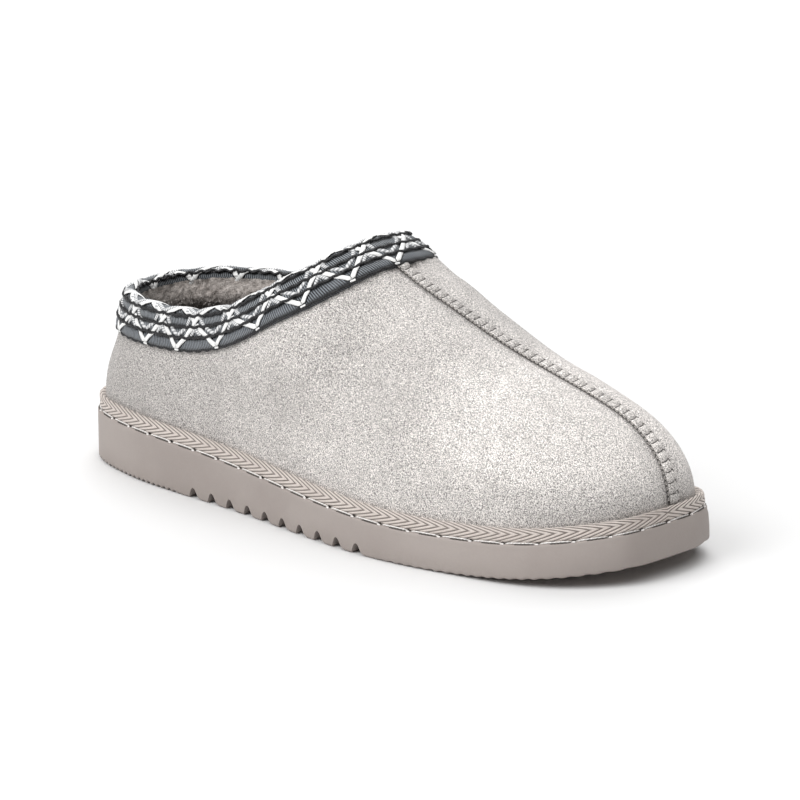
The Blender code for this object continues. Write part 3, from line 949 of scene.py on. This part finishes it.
def make_ropes():
    """Rope rows of the collar braid in one folded wall."""
    end = SECTION[0][-1]

    def spots(u, v):
        s = u * LOOP
        w = v * (end + ROPE_TUCK) - ROPE_TUCK
        swell = 1 + 0.05 * np.sin(s * 2 * pi / 0.0052 + 9 * w / 0.0044)
        rise = np.where(w < ROPES[-1], rope_rise(np.maximum(w, 0)) * swell, 0.0)
        rise = np.where(w < 0, w * 1.7, rise)
        return braid(s, np.maximum(w, 0), rise)[0]

    thing = make("braid_ropes", join([grid_mesh((720, 70), spots, (LOOP, end + ROPE_TUCK))]), ROPE)
    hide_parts("collar_braid")


def make_black_cords():
    """Thin black cords over the laces between the rope rows and along the lower edge."""
    s = np.linspace(0, LOOP, 720)
    meshes = []
    for number, w in enumerate(ROPES[:-2]):
        wander = 0.00025 * np.sin(s * 2 * pi / (LOOP / 68) + number)
        hop = 0.0001 * np.sin(s * 2 * pi / (LOOP / (2 * LACES)) + 2 * number)
        lift = CORD_LIFT if number else LOW_CORD_LIFT
        path, normal = braid(s, w + wander + (0.0 if number else 0.0001), lift + hop)
        meshes.append(tube(path, normal, *CORD_SIZE, 7, pointed=False))
    thing = make("black_cords", join(meshes), BLACK)


def lace_path(number, way, legs, lift, steps=76):
    """A lace through its legs, each a phase and a height; way is 1 or -1 round the collar."""
    phases, heights = columns(legs)
    share = np.linspace(0, len(phases) - 1, steps)
    knots = np.arange(len(phases))
    phase = np.interp(share, knots, phases)
    w = np.interp(share, knots, heights)
    s = lace_way(number + way * phase, w)
    rise = rope_rise(np.clip(w, 0.0002, ROPES[-1])) * 0.86
    return braid(s, w, rise + lift)


# Legs of a lace: how far along in laces, how far up the braid
WHITE_LEGS = ((0.0, 0.0007), (0.5, 0.0108), (0.62, 0.0136), (1.0, 0.0158), (1.38, 0.0176),
              (1.5, 0.0197), (1.6, 0.0219))
GREY_LEGS = ((0.0, 0.0056), (0.26, 0.0094), (0.34, 0.0122), (0.30, 0.0136), (0.12, 0.0162),
             (0.0, 0.0176))
SPARE_LEGS = ((0.42, 0.0136), (0.78, 0.0158), (1.12, 0.0176))
SMALL_LEGS = ((0.36, 0.0054), (0.53, 0.0090))


def make_laces():
    """White laces in a zigzag with painted shadow along their edges, and speckled laces inside it."""
    white, black, grey = [], [], []
    for number in range(LACES):
        for way in (-1, 1):
            over = 0.00030 if way > 0 else 0.00006
            path, normal = lace_path(number, way, WHITE_LEGS, 0.00024 + over)
            white.append(tube(path, normal, *WHITE_SIZE))
            # painted shadow: a black ribbon under each white lace, wider than it, shows as a dark outline
            path, normal = lace_path(number, way, WHITE_LEGS, 0.00008 + over)
            black.append(tube(path, normal, *LACE_PAINTED_SHADOW_SIZE, 6))
            path, normal = lace_path(number, way, GREY_LEGS, 0.00018 + over / 2, 64)
            grey.append(tube(path, normal, *GREY_SIZE))
            for legs in (SMALL_LEGS, SPARE_LEGS):
                path, normal = lace_path(number, way, legs, 0.00018 + over / 2, 24)
                grey.append(tube(path, normal, *SPARE_SIZE))
        s = lace_way(number, 0.0) + np.linspace(-KNOT_REACH, KNOT_REACH, 12)
        path, normal = braid(s, np.full(12, 0.0003), 0.0006)
        white.append(tube(path, normal, *KNOT_SIZE))
    for name, meshes, paint in (("white_laces", white, WHITE), ("lace_painted_shadow_edges", black, BLACK),
                                ("grey_laces", grey, GREY)):
        make(name, join(meshes), paint)


def seam_run():
    """Ways along the ridge from under the braid, their shares, and where the tape covers it."""
    shares = np.linspace(SEAM_TUCK, 1, 2001)
    path = ridge(shares)[0]
    way = way_along(path)
    bare = path[:, 2] > sole_height(path[:, 0]) + TAPE_HEIGHT * 0.8
    return way, shares, way[bare][-1]


SEAM_WAY, SEAM_SHARES, SEAM_END = seam_run()


def seam_at(s):
    """Place, across and up of the seam, s metres along it."""
    point, forward = ridge(np.interp(s, SEAM_WAY, SEAM_SHARES))
    across = np.broadcast_to([0.0, 1.0, 0.0], forward.shape)
    return point, across, unit(np.cross(forward, across))


def make_seam():
    """Whip-stitched bead along the ridge: lobes with a scalloped inner edge."""
    def spots(u, v):
        s = u * SEAM_END
        point, across, up = seam_at(s)
        bow = SEAM_BOW / SEAM_PITCH * (1 - (2 * v - 1) ** 2)
        lobe = np.abs(np.sin(pi * (s / SEAM_PITCH + SEAM_SLANT * (v - 0.5) - bow))) ** 0.6
        angle = pi * (1 - v)
        reach = np.where(v > 0.5, 0.72 + 0.36 * lobe, 0.90 + 0.12 * lobe)
        a = np.cos(angle) * SEAM_WIDTH / 2 * reach
        r = np.sin(angle) ** 0.8 * (0.00045 + 0.00155 * lobe * (0.45 + 0.55 * v))
        return point + a[:, None] * across + (r - 0.0001)[:, None] * up

    bead = make("seam_bead", join([grid_mesh((560, 16), spots, (SEAM_END, 0.008))]), SEAM_SUEDE)
    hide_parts("centre_seam")


def make_painted_seam_shade():
    """Painted shade: dark lines along both edges of the seam and across it between its lobes."""
    half = SEAM_WIDTH / 2
    s = np.linspace(0, SEAM_END, 420)
    point, across, up = seam_at(s)
    wobble = 0.00012 * np.sin(s * 2 * pi / 0.0021)
    line = point - (half + 0.00015 + wobble)[:, None] * across + 0.0001 * up
    meshes = [tube(line, up, *SEAM_LINE, 6)]
    s = np.linspace(0, SEAM_END, 1400)
    point, across, up = seam_at(s)
    lobe = np.abs(np.sin(pi * (s / SEAM_PITCH + SEAM_SLANT / 2))) ** 0.6
    scallop = half * (0.72 + 0.36 * lobe) + 0.0001
    line = point + scallop[:, None] * across + 0.0002 * up
    meshes.append(tube(line, up, *SCALLOP_LINE, 5))
    v = np.linspace(0.06, 1.0, 14)
    for centre in np.arange(SEAM_PITCH, SEAM_END, SEAM_PITCH):
        slant = SEAM_SLANT * SEAM_PITCH * (0.5 - v) + SEAM_BOW * (1 - (2 * v - 1) ** 2)
        point, across, up = seam_at(centre + slant)
        angle = pi * (1 - v)
        a = np.cos(angle) * half * 0.76
        r = np.sin(angle) ** 0.8 * 0.00062
        line = point + a[:, None] * across + (r + 0.00002)[:, None] * up
        meshes.append(tube(line, up, *LOBE_LINE, 5))
    threads = make("seam_painted_shade_lines", join(meshes), PAINTED_SEAM_SHADE)


def make_seam_stitches():
    """Short pale stitches on the outer side of the seam."""
    meshes = []
    for centre in np.arange(0.6 * SEAM_PITCH, SEAM_END, SEAM_PITCH / 2):
        point, across, up = seam_at(centre + np.linspace(-0.0007, 0.0007, 8))
        path = point - (SEAM_WIDTH / 2 + 0.00045) * across + 0.0003 * up
        meshes.append(tube(path, up, *SEAM_STITCH, 5))
    stitches = make("seam_stitches", join(meshes), PALE)


def welt_turns():
    """Turn for each way round the sole's edge, measured from the heel by the outer side."""
    turn = np.linspace(0, 2 * pi, 4001)
    return turn, way_along(outline(turn, TAPE_INSET))


def tape_lean():
    """How far the upper leans in at the tape's height, as a function of the turn."""
    turns, leans = [], []
    share = np.linspace(0, 0.3, 300)
    for side in (-1, 1):
        for top in np.linspace(0, 2, 41):
            line = skin(side, top, share)
            foot = line[0]
            turn = np.arccos(np.clip(1 - 2 * foot[0] / LENGTH, -1, 1))
            turn = turn if side < 0 else 2 * pi - turn
            near = outline(np.array([turn - 1e-3, turn + 1e-3]))
            run = unit(near[1] - near[0])
            at = min(np.searchsorted(line[:, 2], foot[2] + 0.95 * TAPE_HEIGHT), len(line) - 1)
            turns.append(turn)
            leans.append(-(line[at, :2] - foot[:2]) @ np.array([run[1], -run[0]]))
    order = np.argsort(turns)
    turns, leans = np.array(turns)[order], np.array(leans)[order]
    return lambda turn: np.interp(turn, turns, leans, period=2 * pi)


def make_tape():
    """Herringbone tape: sloped band with raised strands."""
    turn, way = welt_turns()
    round_way = way[-1]
    strands = 2 * round(round_way / TAPE_PITCH / 2)
    pitch = round_way / strands
    lean = tape_lean()
    shares = np.array([-0.02, 0.0, 0.14, 0.34, 0.60, 0.84, 1.0, 1.12])

    def spots(u, v):
        s = u * round_way
        t = np.interp(s, way, turn)
        outer = TAPE_INSET + toe_flare(t)
        inner = upper_inset(t) - 2 * CLEAR
        crown = inner - TAPE_TOP
        inset = np.stack([inner, outer + 0.0007, outer, outer + 0.0002, (outer + crown) / 2,
                          crown + lean(t) * 0.9, inner - TAPE_TOP / 2 + lean(t) + 0.0003,
                          inner + lean(t) + 0.0009])
        rise = np.array([0.0, 0.0, 0.20, 0.42, 0.76, 0.95, 1.0, 0.88])
        k = np.interp(v * 1.14 - 0.02, shares, np.arange(8))
        low = np.clip(np.floor(k).astype(int), 0, 6)
        part = k - low
        index = np.arange(len(u))
        ins = inset[low, index] * (1 - part) + inset[low + 1, index] * part
        high = rise[low] * (1 - part) + rise[low + 1] * part
        half_way = np.where(s < round_way / 2, s, round_way - s)
        bend = np.abs(v - TIP) * TAPE_HEIGHT * CHEVRON
        phase = np.mod((half_way + bend) / pitch, 1)
        strand = (1 - np.abs(phase * 2 - 1) ** 2.4) * ease(v / 0.1) * ease((1 - v) / 0.1)
        edge = outline(t, ins - STRAND_OUT * strand)
        z = sole_height(edge[:, 0]) + CLEAR + high * TAPE_HEIGHT + STRAND_UP * strand
        return np.c_[edge, z]

    mesh = grid_mesh((strands * 10, 40), spots, (round_way, TAPE_HEIGHT))
    layer = mesh.uv_layers[0].data
    flat = np.empty(2 * len(layer))
    layer.foreach_get("uv", flat)
    flat[0::2] = np.where(flat[0::2] > round_way / 2, round_way - flat[0::2], flat[0::2])
    layer.foreach_set("uv", flat * np.tile([TAPE_PITCH / pitch, 1.0], len(flat) // 2))
    thing = make("welt_weave", join([mesh]), TAPE)
    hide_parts("welt_tape")


# Threads and painted shadow cords of a welt stitch: from and to along it, inset in rims, rise, dip, half
# width, steps
PALE_THREADS = ((0.05, 0.97, 0.90, 0.00045, 0.0006, 0.00038, 24),
                (0.955, 1.045, 0.45, 0.0001, 0.0003, 0.00042, 8))
# dark cords that paint the groove's shadow above and below the pale thread, and at the knot
PAINTED_SHADOW_CORDS = ((0.08, 0.62, 1.45, 0.0009, 0.0004, 0.00028, 24),
                (0.34, 0.95, 0.42, 0.00004, 0.0002, 0.00024, 24),
                (0.985, 1.015, 1.00, 0.0006, 0.0002, 0.00026, 8))


def make_welt_stitches():
    """Long stitches in the sole's groove: a pale thread between painted shadow lines, knotted at each
    end.
    """
    turn, way = welt_turns()
    total = way[-1]
    count = round(total / STITCH)

    def lay(number, first, last, inset, rise, dip, wide, steps):
        share = np.linspace(first, last, steps)
        t = np.interp((number + share) * total / count % total, way, turn)
        bow = np.abs(np.linspace(-1, 1, steps)) ** 5
        edge = outline(t, RIM * inset + toe_flare(t) + dip * bow)
        path = np.c_[edge, sole_height(edge[:, 0]) + rise - dip * bow]
        return tube(path, np.tile(UP, (steps, 1)), wide, wide * 0.85, 6)

    pale, dark = ([lay(number, *thread) for number in range(count) for thread in threads]
                  for threads in (PALE_THREADS, PAINTED_SHADOW_CORDS))
    make("welt_stitches", join(pale), CLEAR_THREAD)
    make("welt_painted_shadows", join(dark), PAINTED_GROOVE_SHADOW)


# Arch of a groove: along in half widths, up in depths
ARCH = ((-1.20, -0.24), (-1.06, 0.0), (-0.84, 0.46), (-0.64, 0.84), (-0.36, 1.04), (0.0, 1.0),
        (0.26, 0.80), (0.48, 0.54), (0.76, 0.26), (1.16, 0.0), (1.5, -0.24))


def notch_cutter():
    """Cutters of the arched grooves across the waist of the sole."""
    half = NOTCH_WIDTH / 2
    bm = bmesh.new()
    for step in range(NOTCHES):
        middle = NOTCH_START + step * NOTCH_PITCH
        corners = [(middle + x * half, -BALL_WIDTH, z * NOTCH_DEPTH) for x, z in ARCH]
        face = bm.faces.new([bm.verts.new(corner) for corner in corners])
        grown = bmesh.ops.extrude_face_region(bm, geom=[face])["geom"]
        moved = [item for item in grown if isinstance(item, bmesh.types.BMVert)]
        bmesh.ops.translate(bm, vec=(0, 2 * BALL_WIDTH, 0), verts=moved)
    bmesh.ops.recalc_face_normals(bm, faces=bm.faces)
    return show("notch_cutter", to_mesh("notch_cutter", bm))


def tread(x):
    """How deep the fine tread bites at the sole's lower edge: heel and forefoot, not the waist."""
    heel = 1 - ease((x - HEEL_TREAD_END) / 0.008)
    fore = ease((x - FORE_TREAD_START) / 0.010)
    pitch = np.where(x < LENGTH / 2, HEEL_TREAD, FORE_TREAD)
    wave = 0.5 - 0.5 * np.cos(2 * pi * x / pitch)
    return (HEEL_BITE * heel + FORE_BITE * fore) * wave


def make_sole():
    """Moulded sole: the same form as its solid, finer, with the small tread at its lower edge."""
    turn, way = welt_turns()
    total = way[-1]
    flare_at = toe_flare(turn)
    # inset, rise, lean: from under the sole, up its wall, over its rim and groove
    ring = ((0.030, 0.0009, 0), (0.012, 0.0009, 0), (0.0042, 0.0006, 0), (0.0010, 0.0, 0),
            (0.0005, 0.0001, 0), (0.0001, 0.0005, 0), (0.0, 0.0011, 0), (0.0, 0.0055, 0.1),
            (0.0, 0.010, 0.5), (0.0, -0.0016, 1), (0.0, -0.0007, 1), (0.0003, -0.0002, 1),
            (0.0008, 0.0, 1), (RIM, 0.0, 1), (RIM + 0.0004, -GROOVE_DEPTH, 1),
            (RIM + 0.0012, -GROOVE_DEPTH, 1), (RIM + GROOVE_WIDTH, 0.0, 1), (0.012, 0.0, 1),
            (0.030, 0.0, 1))
    rows = len(ring) - 1
    on_top = 9

    def spots(u, v):
        s = u * total
        t = np.interp(s, way, turn)
        k = np.rint(v * rows).astype(int)
        inset, rise, lean = columns(ring)[:, k]
        flare = np.interp(t, turn, flare_at)
        edge = outline(t, np.minimum(inset, 0.021) + lean * flare)
        bite = np.interp(k, (6, 7, 8), (1.0, 0.25, 0.0))
        z_low = floor_height(edge[:, 0]) + rise + tread(edge[:, 0]) * bite
        z_top = sole_height(edge[:, 0]) + rise
        return np.c_[edge, np.where(k >= on_top, z_top, z_low)]

    bm = join([grid_mesh((1500, rows), spots)])
    bmesh.ops.remove_doubles(bm, verts=bm.verts, dist=1e-6)
    open_edges = [e for e in bm.edges if e.is_boundary]
    bmesh.ops.holes_fill(bm, edges=open_edges, sides=0)
    bmesh.ops.recalc_face_normals(bm, faces=bm.faces)
    thing = show("sole", to_mesh("sole", bm))
    cutter = notch_cutter()
    notches = thing.modifiers.new("notches", "BOOLEAN")
    notches.object = cutter
    shaped = applied(thing)
    drop(cutter)
    sole = make("moulded_sole", join([shaped]), RUBBER, crease=38)
    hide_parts("outsole")


def make_floor():
    """Plain pale floor."""
    bm = bmesh.new()
    bmesh.ops.create_grid(bm, x_segments=1, y_segments=1, size=6.0)
    p = Paint("floor_paper")
    base = p.mix(p.noise(3.0, 2.0), (0.77, 0.77, 0.77), (0.79, 0.79, 0.79))
    mesh = to_mesh("floor", bm)
    mesh.materials.append(p.finish(Base_Color=base, Roughness=0.9))
    floor = show("floor", mesh)
    floor.location.z = -0.0002


def make_light(name, spot, wide, power):
    """Soft even light from the side of the spot, as wide in the sky as its angle."""
    lamp = bpy.data.lights.new(name, "SUN")
    lamp.angle = radians(wide)
    lamp.energy = power
    thing = show(name, lamp)
    thing.location = spot
    thing.rotation_euler = (-Vector(spot)).to_track_quat("-Z", "Y").to_euler()


def make_world():
    """Faint even light from all round."""
    world = bpy.data.worlds.new("studio")
    world.use_nodes = True
    background = world.node_tree.nodes["Background"]
    background.inputs["Color"].default_value = (1, 1, 1, 1)
    background.inputs["Strength"].default_value = 0.12
    bpy.context.scene.world = world


def make_camera():
    """Camera at the photograph's angle, with its framing as a small shift."""
    around, above, roll = (radians(angle) for angle in (CAMERA_AROUND, CAMERA_ABOVE, CAMERA_ROLL))
    back = Vector((sin(around) * cos(above), -cos(around) * cos(above), sin(above)))
    right = Vector((cos(around), sin(around), 0))
    up = back.cross(right)
    tilted = (right * cos(roll) + up * sin(roll), up * cos(roll) - right * sin(roll), back)
    data = bpy.data.cameras.new("camera")
    data.lens = CAMERA_LENS
    data.sensor_width = 36
    data.shift_x, data.shift_y = CAMERA_SHIFT
    data.clip_end = 50
    thing = show("camera", data)
    spot = back * CAMERA_FAR + Vector((LENGTH / 2, 0, CAMERA_AIM)) - Vector(ORIGIN)
    thing.matrix_world = Matrix.Translation(spot) @ Matrix(tilted).transposed().to_4x4()
    bpy.context.scene.camera = thing


make_camera()
make_floor()
make_light("key", (-0.34, -1.0, 0.90), 40, 2.0)
make_light("top", (0.34, -0.16, 1.0), 60, 1.60)
make_light("back", (-0.5, 0.7, 1.0), 50, 1.60)
make_world()
bpy.context.scene.view_settings.view_transform = "Standard"

make_sole()
make_upper()
make_lining()
make_insole()
make_tape()
make_welt_stitches()
make_seam()
make_painted_seam_shade()
make_seam_stitches()
make_ropes()
make_black_cords()
make_laces()
